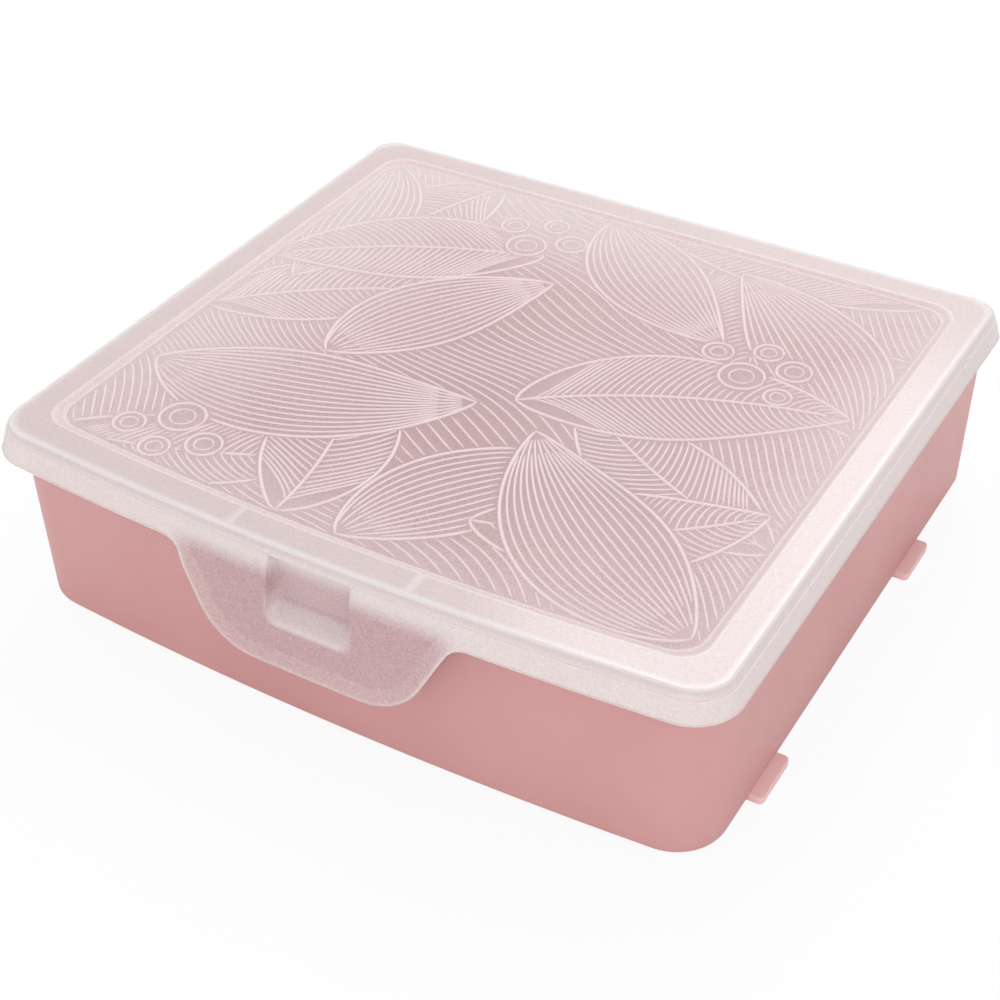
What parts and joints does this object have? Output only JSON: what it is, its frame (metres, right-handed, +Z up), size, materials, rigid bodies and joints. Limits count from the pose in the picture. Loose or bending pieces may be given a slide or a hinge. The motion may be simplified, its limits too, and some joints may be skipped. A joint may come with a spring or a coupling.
{
  "type": "bobbin box",
  "caption": "Shallow rounded sewing box with a hinged frosted lid, a front latch tongue with a finger pocket, and a lift-out tray of ribbed bobbin channels.",
  "frame": {"origin": "bottom centre of the closed box's bounding box", "axes": "+Z up, +X to the right of someone facing the latch, +Y from the latch towards the hinge"},
  "size_m": [0.24, 0.228, 0.0655],
  "materials": {
    "base_plastic": "opaque dusty pink polypropylene, satin moulded skin",
    "lid_plastic": "frosted translucent polypropylene, fine grain outside, polished rim band",
    "tray_plastic": "opaque dusty pink polypropylene, as the base"
  },
  "bodies": {
    "base": {"base": "base_plastic", "bobbin_tray": "tray_plastic"},
    "lid": {"lid": "lid_plastic"}
  },
  "joints": [
    {"name": "lid_hinge", "type": "hinge", "parent": "base", "child": "lid", "pos_m": [0, 0.11113, 0.051], "axis": [-1, 0, 0], "range_deg": [0, 128]}
  ]
}
